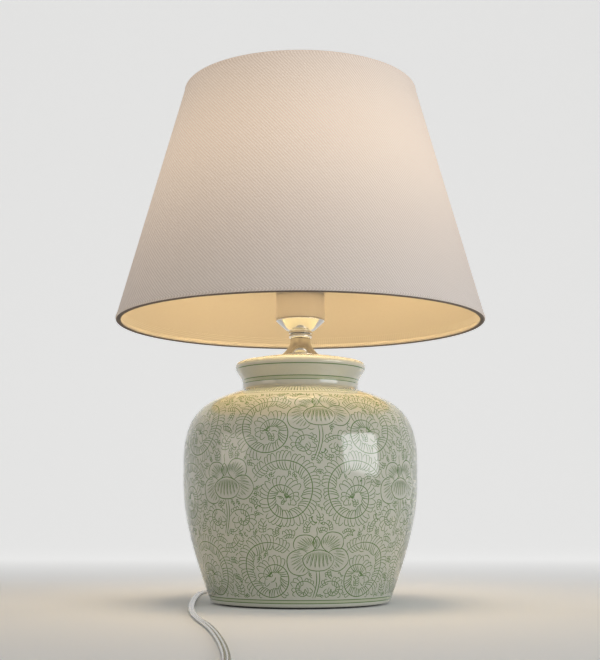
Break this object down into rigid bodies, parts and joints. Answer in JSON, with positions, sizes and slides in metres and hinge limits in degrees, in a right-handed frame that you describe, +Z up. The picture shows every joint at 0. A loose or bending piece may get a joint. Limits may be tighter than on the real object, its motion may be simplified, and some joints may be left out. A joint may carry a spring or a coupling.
{
  "type": "table lamp",
  "caption": "Ginger jar table lamp: glazed ceramic jar base, chrome stem, cone shade on a wire frame, screw-in bulb, mains lead with rocker switch and plug.",
  "frame": {"origin": "centre of the felt base's underside, on the table", "axes": "+Z up along the stem; -Y is the front; the lead leaves the foot towards +Y"},
  "size_m": [0.3495, 0.8908, 0.492],
  "materials": {
    "felt": "dense pressed felt",
    "glaze": "glossy clear glaze over a painted white body",
    "clear_rubber": "translucent soft PVC",
    "zinc_steel": "bright zinc plate",
    "chrome": "polished chrome plate",
    "white_plastic": "moulded, semi-gloss",
    "ceramic_core": "unglazed electrical porcelain",
    "brass": "plain stamped brass",
    "clear_lead": "clear PVC over tinned strands",
    "shade_cloth": "fine twill, laminated",
    "shade_lining": "white translucent sheet",
    "white_wire": "white powder coat",
    "clear_plastic": "translucent moulding",
    "nickel": "nickel plate",
    "black_glass": "black vitrite",
    "cap_aluminium": "pressed thread",
    "opal_glass": "opal, lit from inside"
  },
  "bodies": {
    "base": {"felt_pad": "felt", "jar_body": "glaze", "jar_strain_relief": "clear_rubber", "threaded_rod": "zinc_steel", "floor_washer": "zinc_steel", "floor_nut": "zinc_steel", "stem_foot": "chrome", "stem_bead": "chrome", "holder_cup": "chrome", "holder_cap": "white_plastic", "holder_nut": "zinc_steel", "holder_skirt": "white_plastic", "holder_insert": "ceramic_core", "terminal_screws": "brass", "screw_shell": "brass", "centre_spring": "brass", "inner_lead": "clear_lead", "lead_cores": "clear_lead", "lead_run": "clear_lead", "lead_link": "clear_lead", "lead_coil": "clear_lead", "lead_end": "clear_lead", "switch_base": "clear_plastic", "switch_cover": "clear_plastic", "switch_screws": "zinc_steel", "plug_relief": "white_plastic", "plug_body": "white_plastic", "plug_pins": "nickel"},
    "shade": {"shade_cloth": "shade_cloth", "shade_lining": "shade_lining", "shade_top_ring": "white_wire", "shade_bottom_ring": "white_wire", "shade_top_hem": "shade_cloth", "shade_bottom_hem": "shade_cloth", "shade_spokes": "white_wire", "fitter_ring": "white_wire"},
    "ring_nut": {"shade_ring_nut": "white_plastic"},
    "bulb_tip": {"bulb_contact": "brass"},
    "bulb": {"bulb_insulator": "black_glass", "bulb_cap": "cap_aluminium", "bulb_housing": "white_plastic", "bulb_globe": "opal_glass"},
    "rocker": {"switch_rocker": "white_plastic"}
  },
  "joints": [
    {"name": "shade_turn", "type": "hinge", "parent": "base", "child": "shade", "pos_m": [0, 0, 0.2973], "axis": [0, 0, 1], "continuous": true},
    {"name": "ring_turn", "type": "hinge", "parent": "base", "child": "ring_nut", "pos_m": [0, 0, 0.3026], "axis": [0, 0, 1], "range_deg": [0, 90]},
    {"name": "bulb_rise", "type": "slide", "parent": "base", "child": "bulb_tip", "axis": [0, 0, 1], "range_m": [0, 0.0146]},
    {"name": "bulb_turn", "type": "hinge", "parent": "bulb_tip", "child": "bulb", "pos_m": [0, 0, 0.33], "axis": [0, 0, 1], "range_deg": [0, 1440]},
    {"name": "rocker_tilt", "type": "hinge", "parent": "base", "child": "rocker", "pos_m": [-0.048, -0.623, 0.0128], "axis": [1, 0, 0], "range_deg": [0, 14]}
  ],
  "couplings": [
    {"joint": "bulb_rise", "follows": "bulb_turn", "m_per_rad": 0.00057773}
  ]
}
